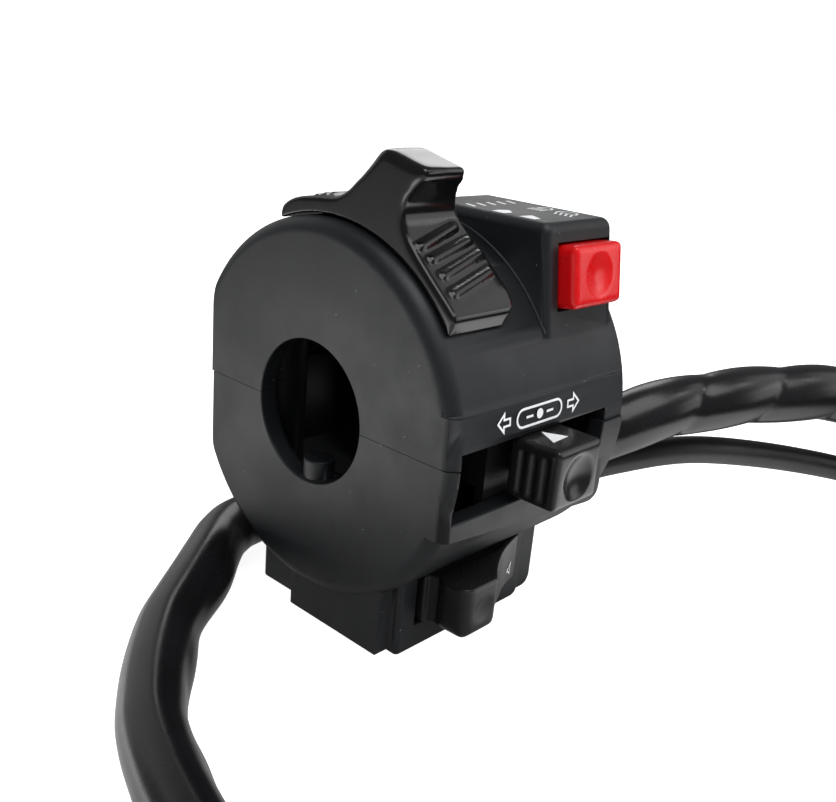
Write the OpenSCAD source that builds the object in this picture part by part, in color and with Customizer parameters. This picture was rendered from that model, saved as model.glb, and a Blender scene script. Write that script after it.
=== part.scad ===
// Handlebar switch cluster: a two-piece clamp-on housing with a thumb lever,
// a sliding turn knob, a push button and a horn button.
// X runs along the handlebar from the open outboard face, -Y faces the rider, Z is up.

/* [Handlebar] */
// Diameter of the handlebar that the halves clamp
bar_d = 22.2; // [21.8:0.1:22.6]
// Diameter of the locating peg
peg_d = 4.9; // [3:0.1:6]
// Height of the locating peg above the bore
peg_h = 3.1; // [2:0.1:4]

/* [Housing] */
// Radius of the round body
body_r = 29; // [28.5:0.1:30]
// Length of the body along the bar
body_len = 42; // [41.5:0.1:46]
// Rounding of the outboard rim
rim_r = 2.5; // [1.5:0.1:3]
// Rounding of the inboard rim
inner_rim_r = 1.2; // [0.5:0.1:2]
// Wall of the shells
wall = 2.5; // [1.8:0.1:2.8]
// Thickness of the two end walls
end_wall = 3.2; // [2.5:0.1:3.4]
// Distance from the bar to the flat forward side
flat_y = 24; // [23.5:0.1:26]
// Gap between the two halves
parting_gap = 0.2; // [0.1:0.05:0.4]

/* [Turn panel] */
// How far the panel face lies inside the round body's radius
panel_set = 0.5; // [0:0.1:1]
// Height of the panel above the parting line
panel_top = 7.3; // [6:0.1:9]
// Depth of the panel below the parting line
panel_bottom = 10.6; // [10:0.1:12]
// Fall of the lower edge toward the inboard side, in degrees
panel_fall = 5.4; // [0:0.1:6]
// How far the panel stops short of the inboard face
panel_short = 0.7; // [0:0.1:1.5]
// Wall of the panel round the slot
panel_wall = 3; // [2:0.1:3.2]
// Outboard end of the slot
slot_x0 = 1.9; // [1.6:0.1:3]
// Panel left beyond the inboard end of the slot
slot_margin = 4.9; // [4.4:0.1:5.8]
// Top of the slot
slot_top = 2.3; // [1.8:0.1:3]
// Depth of the slot below the parting line
slot_bottom = 8.2; // [7.8:0.1:8.6]

/* [Light block] */
// How far the raised block stops short of the inboard face
block_short = 1.8; // [1.4:0.1:2.2]
// Width of the raised block
block_w = 17.2; // [17:0.1:17.5]
// Height of the flat top over the round body
block_rise = 1.7; // [1.5:0.1:3]
// How far the foot of the sloping face lies inside the body's radius
block_set = 3.5; // [3.1:0.1:3.8]
// Lean of the face
block_tilt = 8; // [5:0.5:10]
// Forward end of the flat top
block_back = 1; // [0:0.5:4]

/* [Horn box] */
// Outboard side of the lower box
box_x0 = 3.5; // [2.5:0.1:4.5]
// How far the lower box stops short of the inboard face
box_short = 3; // [2:0.1:3.2]
// Rider side of the lower box
box_front = 17.6; // [17.4:0.1:18]
// Forward side of the lower box
box_back = 13.5; // [12:0.1:13.6]
// Drop of the flat base below the round body
base_drop = 5.5; // [5:0.1:7]
// How far the bezel stands proud of the lower box
bezel_proud = 1.2; // [1:0.1:2]
// How far the bezel stops short of the lower box's inboard side
bezel_short = 5.4; // [4.5:0.1:6]

/* [Thumb lever] */
// Outboard face of the lever
lever_x0 = 2.6; // [2:0.1:4]
// Widest part of the lever
lever_w = 14; // [13:0.1:15]
// Width of the hooked tip
hook_w = 8; // [6:0.1:10]
// Turn of the lever between its end stops, in degrees
lever_turn = 20; // [10:1:20]

/* [Turn knob] */
// Width of the knob
knob_w = 10.8; // [10:0.1:12]
// How far the knob stands out of the panel
knob_reach = 7.5; // [5.5:0.1:9.5]
// Slide of the knob to each side
turn_travel = 7; // [4:0.1:7]
// Push of the knob to cancel
knob_travel = 1.5; // [0.8:0.1:1.6]

/* [Red button] */
// Width of the button
red_w = 12.5; // [11:0.1:12.6]
// Height of the button
red_h = 9.4; // [8.4:0.1:10]
// How far the button stands proud
red_proud = 3; // [2.5:0.1:4]
// Travel of the button
red_travel = 2; // [1:0.1:2.4]

/* [Horn button] */
// Outboard end of the button
horn_x0 = 7.5; // [7.2:0.1:9]
// Bezel left beyond the inboard end of the button
horn_margin = 2.4; // [2.2:0.1:4.4]
// Outboard end of the thumb block
thumb_x0 = 8.9; // [8.4:0.1:9.6]
// How far the thumb block stands out of the bezel
thumb_reach = 8; // [7.2:0.1:8.6]
// Travel of the button
horn_travel = 2; // [1:0.1:2.4]

/* [Wiring] */
// Diameter of the sleeved loom
loom_d = 10.8; // [10:0.1:11.2]
// Diameter of the thin lead
lead_d = 5.2; // [4:0.1:5.2]

/* [Fits] */
// Gap round parts that slide or turn
gap = 0.3; // [0.25:0.05:0.4]
// Radial play of a stem in its guide
stem_play = 0.05; // [0.02:0.01:0.1]
// Play of a part dropped into its seat
seat_play = 0.1; // [0.05:0.01:0.15]

/* [Hidden] */
$fn = 64;
bar_r = bar_d / 2;
inner_r = body_r - wall;
in_x0 = end_wall;
in_x1 = body_len - end_wall;
half_gap = parting_gap / 2;
panel_y = body_r - panel_set;
panel_len = body_len - panel_short;
slot_x1 = panel_len - slot_margin;
box_x1 = body_len - box_short;
base_z = body_r + base_drop;
bezel_front = box_front + bezel_proud;
bezel_x1 = box_x1 - bezel_short;
peg_x = peg_d / 2 + 0.55;
lower_set = 0.4;
far = 80;

// Turn switch places
turn_x = (slot_x0 + slot_x1) / 2 + 0.55;
turn_z = (slot_top - slot_bottom) / 2;
pocket_y = panel_y - panel_wall;
knob_z0 = -slot_bottom + 3 * gap;
knob_z1 = slot_top - gap;
knob_back = pocket_y + 1.7;
carriage_w = 15.2;
carriage_front = pocket_y - gap;
carriage_back = pocket_y - 4.9;
knob_front = panel_y + knob_reach;
plate_back = carriage_front - 1.9;
clip_t = 0.6;
knob_stem_r = 2.25;
knob_stem_end = plate_back - gap - clip_t - 0.2;
knob_spring_y = knob_back + 3.8;
knob_spring_r = 3.2;
board_t = 1.6;
turn_board_y = pocket_y - 5.9;
turn_board_x0 = in_x0 + 1.7;
turn_board_x1 = slot_x1 - 1.8;
turn_pitch = (turn_board_x1 - turn_board_x0) / 3.3;
turn_board_z0 = -slot_bottom - 4.8;
turn_board_z1 = slot_top + 2.7;
turn_ball_r = 1.5;
turn_ball_x = turn_x + 5.3;
pad_t = 0.4;

// Lever places, in degrees round the bar from the rider side over the top
shoe_r1 = inner_r - gap;
shoe_r0 = shoe_r1 - 4;
shoe_x0 = 4.5;
shoe_x1 = 14.5;
stem_t0 = 57;
stem_t1 = 75;
stem_x0 = 6.8;
stem_x1 = 12.2;
light_board_x = 16;
light_t0 = 42;
light_t1 = 108;
lever_ball_r = 1.3;
lever_ball_t = stem_t1 + 4.5;
lever_ball_at = shoe_r0 + 1.8;
lever_screw_r = 1.25;
lever_screw_head_r = 2.2;
lever_screw_seat = sqrt(pow(shoe_r0, 2) - pow(lever_screw_head_r, 2)) - 0.02;
// Side view of the lever: degrees round the bar and height over the body
lever_top = [
    [112, 0.9], [110.5, 2.1], [105, 2.7], [97, 2.7], [90, 2.9], [85.5, 4.2], [82, 6.6],
    [79.3, 9.4], [77.8, 11.2], [76.7, 11.85], [74.4, 11.98], [71.3, 12.1], [67.6, 12.45],
    [65.9, 12.65], [65.3, 12.45], [65.1, 11.9], [65.1, 11], [65.6, 10.2], [66.4, 8.8],
    [66.9, 6.8], [65.8, 4.9], [62.3, 3.3], [57.5, 2.5], [50.2, 2.1], [43, 2.3],
    [39.3, 2.5], [38.3, 2.3], [37.7, 1.9], [35.8, 0.5]
];
// Grip ribs of the lever: X and degrees of both ends
rib_marks = [
    [4.5, 59.9, 12.6, 63.9], [5.2, 56, 14.4, 60.3], [5.5, 50.9, 15.3, 56.2], [5.2, 45.3, 15.3, 50.6]
];
thumb_face = [[43, 2.3], [50.2, 2.1], [57.5, 2.5], [62.3, 3.3], [65.8, 4.9]];
ridge_angles = [99, 102.5, 106];
tail_h = 2.7;
rib_r = 0.75;
rib_sink = 0.25;

// Light block: its ends, top and the foot of its sloping face
block_x1 = body_len - block_short;
block_x0 = block_x1 - block_w;
block_top = body_r + block_rise;
block_foot_y = body_r - block_set;
block_foot_z = block_top - 18.2;
block_slope = tan(block_tilt);

// Red button frame: its face leans back about the middle of the button
red_shift = 0.75;
red_x = block_x0 + block_w / 2 + red_shift;
red_z = block_top - 7.8;
red_y = block_foot_y - (red_z - block_foot_z) * block_slope;
red_lip = 0.4;
red_flange_t = 1.2;
block_wall = 1.3;
block_lid = 1.3;
red_base_d = 9;
red_spring_r = 2.7;

// Horn button places
horn_z0 = -base_z + 4.3;
horn_z1 = horn_z0 + 8.1;
horn_x1 = bezel_x1 - horn_margin;
thumb_front = bezel_front + thumb_reach;
horn_lip = 0.8;
horn_flange_t = 1.2;
bezel_back = bezel_front - wall;
horn_rear = bezel_back - gap - horn_flange_t;
horn_base_y = horn_rear - 5.8;
horn_base_t = 2.5;
horn_mid = (horn_x0 + horn_x1) / 2;
floor_z = -base_z + wall;
horn_spring_r = 3;
// Hollow run from the thumb block down to the plate
ramp_r = 32.8;
ramp_at = [horn_x1 + 6.8, -bezel_front - ramp_r + 0.2];

// Case screws: two on the forward side and one beside the horn button
screw_r = 1.5;
screw_head_r = 2.6;
screw_head_h = 2;
forward_screws = [[9, flat_y - 6.7], [body_len - 9, flat_y - 6.7]];
forward_boss_r = flat_y - wall - forward_screws[0][1] + 0.2;
forward_seat = -17;
rider_screw = [in_x1 - 3.2, 5.3 - turn_board_y];
rider_boss_r = 2.9;
rider_seat = floor_z - 0.4;
pilot_top = 9;

// Cable exits on the inboard wall, as [y, z]
loom_exit = [-17.5, -10];
lead_exit = [-11, -20];
grommet_r = 6.4;
lead_grommet_r = 3.4;
loom_start = body_len + 5;
lead_start = body_len + 4;
loom_z = loom_d / 2 - base_z;
lead_z = lead_d / 2 - base_z;
loom_route = [
    [loom_start, loom_exit[0], loom_exit[1]], [loom_start + 3, loom_exit[0], loom_exit[1]],
    [56, -19.6, -8], [64, -23, -6], [76, -28, -4.6],
    [90, -34, -4.2], [104, -41, -5], [118, -48, -9.5], [132, -54.5, -16.5], [145, -59.5, -23],
    [158, -62, -27.5], [170, -62, loom_z], [182, -58, loom_z], [191, -50, loom_z], [196, -39, loom_z],
    [196, -27, loom_z], [190, -16, loom_z], [178, -8, loom_z], [160, 0.5, loom_z], [138, 8.5, loom_z],
    [114, 14, loom_z], [90, 18, loom_z], [66, 21, loom_z], [42, 22.5, loom_z], [20, 22.5, loom_z],
    [6, 22, loom_z], [0, 19.5, loom_z], [-5, 15.7, loom_z], [-11, 10.9, loom_z], [-17, 6.2, loom_z],
    [-22.6, 1.7, loom_z], [-27, -2.9, loom_z], [-30.8, -7.4, loom_z], [-34, -11.8, loom_z],
    [-36.7, -16, loom_z], [-38.7, -20.3, loom_z], [-40.3, -24.6, loom_z], [-41.7, -29, loom_z],
    [-43.4, -36, loom_z], [-44.2, -44, loom_z], [-44.2, -52, loom_z]
];
lead_route = [
    [lead_start, lead_exit[0], lead_exit[1]], [lead_start + 2, lead_exit[0], lead_exit[1]],
    [54, -13, -19], [62, -17.5, -17], [75, -24.5, -15.6],
    [93, -32, -18.3], [110, -42, -22], [122, -50, -26], [133, -58, -30], [142, -66, lead_z],
    [150, -72, lead_z], [160, -76, lead_z], [168, -76, lead_z]
];
plug_size = [22, 24, 12];
lead_plug_size = [16, 9, 7];

// Box between two corners
module between(a, b) {
    translate(a) cube(b - a);
}

// Rectangle between two corners with round corners
module round_rect(a, b, r) {
    translate(a + [r, 0]) square(b - a - [2 * r, 0]);
    translate(a + [0, r]) square(b - a - [0, 2 * r]);
    for (x = [a[0] + r, b[0] - r])
        for (y = [a[1] + r, b[1] - r])
            translate([x, y]) circle(r);
}

// Flat shape in Y and Z, drawn out along X
module x_slab(x0, x1) {
    translate([x0, 0, 0]) rotate([90, 0, 90]) linear_extrude(x1 - x0) children();
}

// Flat shape in X and Z, drawn out along Y
module y_slab(y0, y1) {
    translate([0, y1, 0]) rotate([90, 0, 0]) linear_extrude(y1 - y0) children();
}

// Flat shape in X and Y, drawn out along Z
module z_slab(z0, z1) {
    translate([0, 0, z0]) linear_extrude(z1 - z0) children();
}

// Rectangle with one corner radius below and another above
module foot_rect(a, b, below, above) {
    mid = (a[1] + b[1]) / 2;
    round_rect([a[0], mid - above], b, above);
    round_rect(a, [b[0], mid + below], below);
}

// Box between two corners with every edge rounded
module soft_box(a, b, r) {
    intersection() {
        z_slab(a[2], b[2]) round_rect([a[0], a[1]], [b[0], b[1]], r);
        x_slab(a[0], b[0]) round_rect([a[1], a[2]], [b[1], b[2]], r);
        y_slab(a[1], b[1]) round_rect([a[0], a[2]], [b[0], b[2]], r);
    }
}

// Rod along X, Y or Z from one end to the other
module x_rod(x0, x1, r, y = 0, z = 0) {
    translate([x0, y, z]) rotate([0, 90, 0]) cylinder(r = r, h = x1 - x0);
}
module y_rod(y0, y1, r, x, z) {
    translate([x, y0, z]) rotate([-90, 0, 0]) cylinder(r = r, h = y1 - y0);
}
module z_rod(z0, z1, r, at) {
    translate([at[0], at[1], z0]) cylinder(r = r, h = z1 - z0);
}

// Part of a ring round the bar, between two angles
module sector(r0, r1, x0, x1, t0, t1) {
    rotate([0, 90, 0]) rotate([0, 0, 270 - t1]) rotate_extrude(angle = t1 - t0, $fn = 128)
        translate([r0, x0]) square([r1 - r0, x1 - x0]);
}

// Stand children on a radius of the bar, with their Z pointing outwards
module on_radius(t, x) {
    translate([x, 0, 0]) rotate([90 - t, 0, 0]) children();
}

// Point at an angle round the bar and a height over the body, as [y, z]
function round_bar(t, h) = (body_r + h) * [-cos(t), sin(t)];

// Smooth curve through a list of flat points
function blend(a, b, c, d, s) =
    0.5 * (2 * b + (c - a) * s + (2 * a - 5 * b + 4 * c - d) * s * s + (3 * b - a - 3 * c + d) * s * s * s);
function smooth(p, n) = let (last = len(p) - 1) [
    for (i = [0 : last - 1])
        for (k = [0 : n - 1])
            blend(p[max(i - 1, 0)], p[i], p[i + 1], p[min(i + 2, last)], k / n),
    p[last]
];

// Round tube along a list of points
function unit(v) = v / norm(v);
function along(p, i) = unit(p[min(i + 1, len(p) - 1)] - p[max(i - 1, 0)]);
function ring(p, i, r, n) =
    let (t = along(p, i), s = unit(cross(t, [0, 0, 1])), u = cross(s, t))
    [for (k = [0 : n - 1]) p[i] + r * (cos(360 * k / n) * s + sin(360 * k / n) * u)];
module tube(p, r, n) {
    last = len(p) - 1;
    skin = [for (i = [0 : last - 1]) for (k = [0 : n - 1])
        let (a = i * n + k, b = i * n + (k + 1) % n)
        each [[a, b, b + n], [a, b + n, a + n]]];
    ends = [for (k = [1 : n - 2]) each [[0, k + 1, k], [last * n, last * n + k, last * n + k + 1]]];
    polyhedron([for (i = [0 : last]) each ring(p, i, r, n)], concat(skin, ends));
}

// Coil spring standing on Z, cut from plain round wire
module coil(r, wire, length, turns) {
    steps = turns * 12;
    rise = length - 2 * wire;
    tube([for (i = [0 : steps])
        [(r - wire) * cos(i * 30), (r - wire) * sin(i * 30), wire + rise * i / steps]], wire, 6);
}

// Whole round body with both rims and the flat forward side
module body_core() {
    difference() {
        rotate([0, 90, 0]) rotate_extrude($fn = 128) {
            square([body_r - rim_r, body_len]);
            translate([0, rim_r]) square([body_r, body_len - rim_r - inner_rim_r]);
            translate([0, rim_r]) square([body_r - inner_rim_r, body_len - rim_r]);
            translate([body_r - rim_r, rim_r]) circle(rim_r);
            translate([body_r - inner_rim_r, body_len - inner_rim_r]) circle(inner_rim_r);
        }
        between([-1, flat_y, -far], [body_len + 1, far, far]);
    }
}

// Raised panel with the turn slot, square on the outboard side
module panel_block(length, fall) {
    intersection() {
        y_slab(-panel_y, -bar_r - wall) rotate(-fall)
            round_rect([-6, -panel_bottom], [length, panel_top + fall], 3);
        z_slab(-panel_bottom - fall, panel_top) round_rect([0, -panel_y], [length, 0], 1.8);
    }
}

// Halves of space above and below the parting line
module above() {
    between([-1, -far, half_gap], [far, far, far]);
}
module below() {
    between([-1, -far, -far], [far, far, -half_gap]);
}

// Inside of the round body, with the flat pocket behind the panel
module body_hollow() {
    difference() {
        x_rod(in_x0, in_x1, inner_r);
        between([0, flat_y - wall, -far], [body_len, far, far]);
    }
    between([in_x0, -pocket_y, -panel_bottom + 0.9], [in_x1, -bar_r, panel_top - 2]);
}

// Side view of the light block, as a flat shape in Y and Z
module block_side(inset, lid, back) {
    shift = inset / cos(block_tilt);
    top = block_top - lid;
    polygon([
        [-block_foot_y + shift, block_foot_z],
        [-block_foot_y + shift + (top - block_foot_z) * block_slope, top],
        [back, top],
        [back, block_foot_z],
        [-block_foot_y + shift, block_foot_z]
    ]);
}

// Raised block for the light lever's marks and the red button
module light_block() {
    intersection() {
        x_slab(block_x0, block_x1) block_side(0, 0, block_back);
        z_slab(0, block_top) round_rect([block_x0, -far], [block_x1, block_back], 1.4);
        y_slab(-far, far) round_rect([block_x0, 0], [block_x1, block_top], 1.6);
    }
}

// Stand children on the sloping face, with their Z pointing into the block
module on_red_face() {
    translate([red_x, -red_y, red_z]) rotate([-90 - block_tilt, 0, 0]) children();
}

module upper_housing() {
    color("#2c2e31")
    difference() {
        union() {
            difference() {
                union() {
                    intersection() {
                        union() {
                            body_core();
                            panel_block(panel_len, 0);
                        }
                        above();
                    }
                    light_block();
                }
                body_hollow();
                x_slab(block_x0 + block_wall, block_x1 - block_wall)
                    block_side(wall, block_lid, block_back - 2);
            }
            for (at = forward_screws)
                z_rod(half_gap, sqrt(pow(inner_r, 2) - pow(at[1], 2)) + 1, forward_boss_r, at);
            z_rod(half_gap, pilot_top + 2, rider_boss_r, rider_screw);
            between([rider_screw[0], rider_screw[1] - rider_boss_r, half_gap],
                [in_x1 + 0.5, rider_screw[1] + rider_boss_r, pilot_top + 2]);
            for (x = [light_board_x - seat_play - 0.9, light_board_x + board_t + seat_play])
                sector(inner_r - 0.9, inner_r + 0.5, x, x + 0.9, light_t0, light_t1);
            on_red_face()
                for (side = [-1, 1])
                    translate([side * (block_w / 2 - block_wall - 0.6) - red_shift, 0, red_base_d + board_t])
                        translate([-1.2, -red_h / 2, 0]) cube([2.4, red_h, 2]);
        }
        x_rod(-1, body_len + 1, bar_r);
        between([slot_x0, -far, -1], [slot_x1, -turn_board_y - 1, slot_top]);
        sector(inner_r - 1, body_r + 1, stem_x0 - gap, stem_x1 + gap,
            stem_t0 - 1, stem_t1 + lever_turn + 1);
        for (at = concat(forward_screws, [rider_screw]))
            z_rod(-1, pilot_top, screw_r + stem_play, at);
        on_red_face()
            between([-red_w / 2 - gap, -red_h / 2 - gap, -3],
                [red_w / 2 + gap, red_h / 2 + gap, wall + 1]);
    }
}

module lower_housing() {
    color("#2a2c2f") {
        difference() {
            union() {
                difference() {
                    lower_outside();
                    body_hollow();
                    between([box_x0 + wall, -box_front + wall, floor_z],
                        [box_x1 - wall, box_back - wall, -bar_r]);
                    between([horn_x0 - horn_lip - 2 * gap, -bezel_back, floor_z],
                        [horn_x1 + 2 * gap, -bar_r, horn_z1 + horn_lip + 2 * gap]);
                }
                for (at = forward_screws)
                    intersection() {
                        z_rod(-far, -half_gap, forward_boss_r, at);
                        lower_core();
                    }
                z_rod(-base_z + 1, -half_gap, rider_boss_r, rider_screw);
                between([rider_screw[0], rider_screw[1] - rider_boss_r, loom_exit[1] + grommet_r + 1],
                    [in_x1 + 0.5, rider_screw[1] + rider_boss_r, -half_gap]);
                for (x = [in_x0 - 0.5, turn_board_x1 - 1.2])
                    between([x, -turn_board_y - pad_t, turn_board_z0 - 3],
                        [x + 3.2, -turn_board_y + board_t + 1.2, -half_gap]);
                between([in_x0 - 0.5, -4, floor_z - 0.5], [peg_x + peg_d / 2 + 0.6, 4, -bar_r / 2]);
                for (x = [horn_mid - 8, horn_mid + 6])
                    between([x, -horn_base_y + horn_base_t, floor_z - 0.5],
                        [x + 2, -horn_base_y + horn_base_t + 4, horn_z1 - 2]);
            }
            x_rod(-1, body_len + 1, bar_r);
            between([slot_x0 - 0.4, -far, -slot_bottom], [slot_x1 - 0.7, -turn_board_y - 1, 1]);
            between([turn_board_x0 - seat_play, -turn_board_y - seat_play, turn_board_z0],
                [turn_board_x1 + seat_play, -turn_board_y + board_t + seat_play, 1]);
            between([horn_x0 - gap, -far, horn_z0 - gap],
                [horn_x1 + gap, -bezel_back + 1, horn_z1 + gap]);
            for (at = forward_screws) {
                z_rod(-far, forward_seat, screw_head_r + 0.3, at);
                z_rod(-far, 1, screw_r + 0.2, at);
            }
            z_rod(-far, rider_seat, screw_head_r + 0.2, rider_screw);
            z_rod(-far, 1, screw_r + 0.2, rider_screw);
            x_rod(in_x1 - 1, body_len + 1, grommet_r + stem_play, loom_exit[0], loom_exit[1]);
            x_rod(in_x1 - 1, body_len + 1, lead_grommet_r + stem_play, lead_exit[0], lead_exit[1]);
        }
        z_rod(-bar_r - 1, -bar_r + peg_h, peg_d / 2, [peg_x, 0]);
    }
}

// Round body of the lower half, set a little toward the rider
module lower_core() {
    translate([0, -lower_set, 0]) body_core();
}

// Outside of the lower half: round body, panel, box, bezel and end skirt
module lower_outside() {
    intersection() {
        union() {
            lower_core();
            panel_block(panel_len - 1.4, panel_fall);
        }
        below();
    }
    intersection() {
        z_slab(-base_z, -bar_r) round_rect([box_x0, -box_front], [box_x1, box_back], 1.2);
        y_slab(-far, far) round_rect([box_x0 - 8, -base_z], [box_x1, 0], 3);
    }
    intersection() {
        z_slab(-base_z, horn_z1 + 3.1) round_rect([box_x0, -bezel_front], [bezel_x1, 0], 0.8);
        y_slab(-far, far) round_rect([box_x0 - 8, -base_z], [bezel_x1, 0], 2);
    }
    between([1, -box_front + 0.9, -base_z], [box_x0 + 1, 3, -bar_r]);
}

module case_screws() {
    color("#8f9296") {
        for (at = forward_screws)
            screw(at, forward_seat);
        screw(rider_screw, rider_seat);
    }
}

// Pan head screw standing on its head, with a cross recess
module screw(at, seat) {
    difference() {
        union() {
            z_rod(seat, pilot_top - 1, screw_r, at);
            z_rod(seat - screw_head_h, seat, screw_head_r, at);
        }
        for (turn = [0, 90])
            translate([at[0], at[1], seat - screw_head_h]) rotate(turn)
                cube([3, 0.7, 2], center = true);
    }
}

// Side view of the lever in Y and Z
module lever_side() {
    first = lever_top[len(lever_top) - 1][0];
    last = lever_top[0][0];
    polygon(concat(
        smooth([for (p = lever_top) round_bar(p[0], p[1])], 4),
        [for (i = [0 : 24]) round_bar(first + (last - first) * i / 24, gap)]
    ));
}

// View of the lever from the rider side in X and Z, slimmer at the hook
module lever_width() {
    wide = lever_x0 + lever_w;
    hook = lever_x0 + hook_w;
    edge = smooth([
        [hook, body_r + 12], [hook + 0.2, body_r + 8], [hook + 2.6, body_r + 4.2], [wide - 2.4, body_r + 1.7],
        [wide - 1, body_r - 0.8], [wide - 0.1, body_r - 3], [wide, body_r - 6], [wide - 0.3, body_r - 8],
        [wide - 1.9, body_r - 10], [wide - 3, body_r - 12.5]
    ], 3);
    polygon(concat([[hook, body_r + 20]], edge, [[lever_x0, body_r - 20], [lever_x0, body_r + 20]]));
}

module thumb_lever() {
    color("#141416")
    difference() {
        union() {
            intersection() {
                x_slab(lever_x0, lever_x0 + lever_w) lever_side();
                y_slab(-far, far) lever_width();
            }
            for (m = rib_marks)
                lever_rib(on_face(m[0], m[1]), on_face(m[2], m[3]), rib_r);
            for (t = ridge_angles)
                lever_rib(concat([lever_x0 + 5], round_bar(t, tail_h - rib_sink)),
                    concat([lever_x0 + lever_w - 3.6], round_bar(t, tail_h - rib_sink)), rib_r);
            sector(shoe_r1 + 0.02, body_r + gap + 0.5, stem_x0, stem_x1, stem_t0, stem_t1);
        }
        on_radius((stem_t0 + stem_t1) / 2, (stem_x0 + stem_x1) / 2)
            translate([0, 0, shoe_r1 - 1]) cylinder(r = lever_screw_r + stem_play, h = 4);
    }
}

// Point on the thumb face of the lever
function on_face(x, t) = concat([x], round_bar(t, lookup(t, thumb_face) - rib_sink));

// Grip rib with round ends between two points
module lever_rib(a, b, r) {
    v = b - a;
    translate(a) rotate([0, acos(v[2] / norm(v)), atan2(v[1], v[0])])
        rotate_extrude($fn = 24) intersection() {
            union() {
                circle(r);
                square([r, norm(v)]);
                translate([0, norm(v)]) circle(r);
            }
            translate([0, -r]) square([r, norm(v) + 2 * r]);
        }
}

module lever_shoe() {
    color("#d8d2c0")
    difference() {
        sector(shoe_r0, shoe_r1, shoe_x0, shoe_x1, stem_t0 - 7, stem_t1 + 9);
        on_radius((stem_t0 + stem_t1) / 2, (stem_x0 + stem_x1) / 2)
            translate([0, 0, shoe_r0 - 1]) cylinder(r = lever_screw_r + stem_play, h = 8);
        on_radius(lever_ball_t, 0)
            x_rod(shoe_x1 - 6, shoe_x1 + 1, lever_ball_r + stem_play, 0, lever_ball_at);
    }
}

module lever_screw() {
    color("#9a9da1")
    on_radius((stem_t0 + stem_t1) / 2, (stem_x0 + stem_x1) / 2) {
        translate([0, 0, lever_screw_seat - 1.6]) cylinder(r = lever_screw_head_r, h = 1.6);
        translate([0, 0, lever_screw_seat - 1]) cylinder(r = lever_screw_r, h = 6.5);
    }
}

module lever_wiper() {
    color("#b08d4a")
    sector(shoe_r0 - 0.8, shoe_r0, 12, light_board_x - pad_t - gap, stem_t0 - 5, stem_t0 + 3);
}

module lever_ball() {
    color("#b9bcc0")
    on_radius(lever_ball_t, light_board_x - gap - lever_ball_r)
        translate([0, 0, lever_ball_at]) sphere(lever_ball_r);
}

module lever_spring() {
    color("#c2c4c7")
    on_radius(lever_ball_t, 0) translate([shoe_x1 - 5.9, 0, lever_ball_at]) rotate([0, 90, 0])
        coil(lever_ball_r - 0.05, 0.2, light_board_x - gap - 2 * lever_ball_r - shoe_x1 + 5.8, 5);
}

module light_board() {
    color("#6b4a2a")
    sector(shoe_r0 - 3, inner_r - seat_play, light_board_x, light_board_x + board_t, light_t0, light_t1);
}

module light_contacts() {
    color("#c39a52")
    for (i = [0 : 2])
        sector(shoe_r0 - 2, shoe_r0 + 0.2, light_board_x - pad_t, light_board_x, 46 + 19 * i, 60 + 19 * i);
}

module turn_board() {
    color("#6b4a2a")
    between([turn_board_x0, -turn_board_y, turn_board_z0],
        [turn_board_x1, -turn_board_y + board_t, turn_board_z1]);
}

module turn_contacts() {
    color("#c39a52")
    for (i = [-1 : 1])
        between([turn_x + turn_pitch * (i - 1 / 3), -turn_board_y - pad_t, turn_board_z0 + 0.8],
            [turn_x + turn_pitch * (i + 1 / 3), -turn_board_y, -slot_bottom - 1]);
}

module turn_carriage() {
    color("#1b1c1e")
    difference() {
        union() {
            between([turn_x - carriage_w / 2, -carriage_front, knob_z0 + 0.5],
                [turn_x + carriage_w / 2, -carriage_back, knob_z1 - 0.5]);
            between([turn_x - carriage_w / 2, -carriage_front, -slot_bottom - 1.2],
                [turn_x + carriage_w / 2, -carriage_front + 1.5, slot_top + 1.2]);
        }
        y_rod(-far, 0, knob_stem_r + stem_play, turn_x, turn_z);
        y_rod(-plate_back, 0, 3.5, turn_x, turn_z);
        y_rod(-carriage_back - 4.1, 0, turn_ball_r + stem_play, turn_ball_x, turn_z);
    }
}

module turn_wiper() {
    color("#b08d4a")
    between([turn_x - 7.4, -carriage_back, turn_board_z0 + 1.4],
        [turn_x - 4, -turn_board_y - pad_t - gap, turn_z]);
}

module turn_ball() {
    color("#b9bcc0")
    translate([turn_ball_x, -turn_board_y - gap - turn_ball_r, turn_z]) sphere(turn_ball_r);
}

module turn_spring() {
    color("#c2c4c7")
    translate([turn_ball_x, -turn_board_y - gap - 2 * turn_ball_r, turn_z]) rotate([90, 0, 0])
        coil(turn_ball_r - 0.05, 0.22, carriage_back + 4 - turn_board_y - gap - 2 * turn_ball_r, 3);
}

module turn_knob() {
    x0 = turn_x - knob_w / 2;
    x1 = turn_x + knob_w / 2;
    color("#101113") {
        difference() {
            soft_box([x0, -knob_front, knob_z0], [x1, -knob_back, knob_z1], 1);
            y_rod(-knob_spring_y, 0, knob_spring_r + 0.6, turn_x, turn_z);
            for (side = [x0, x1])
                for (i = [0 : 2])
                    z_rod(knob_z0 + 1, knob_z1 - 1.6, 0.6, [side, -knob_front + 2.2 + 2.05 * i]);
            translate([turn_x, -knob_front - 5, turn_z]) sphere(6.15);
        }
        difference() {
            y_rod(-knob_spring_y, -knob_stem_end, knob_stem_r, turn_x, turn_z);
            difference() {
                y_rod(-knob_stem_end - 0.2 - clip_t, -knob_stem_end - 0.2, 4, turn_x, turn_z);
                y_rod(-far, 0, 1.8, turn_x, turn_z);
            }
        }
    }
}

module knob_spring() {
    color("#c2c4c7")
    translate([turn_x, -carriage_front, turn_z]) rotate([90, 0, 0])
        coil(knob_spring_r, 0.3, knob_spring_y - carriage_front, 4);
}

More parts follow.
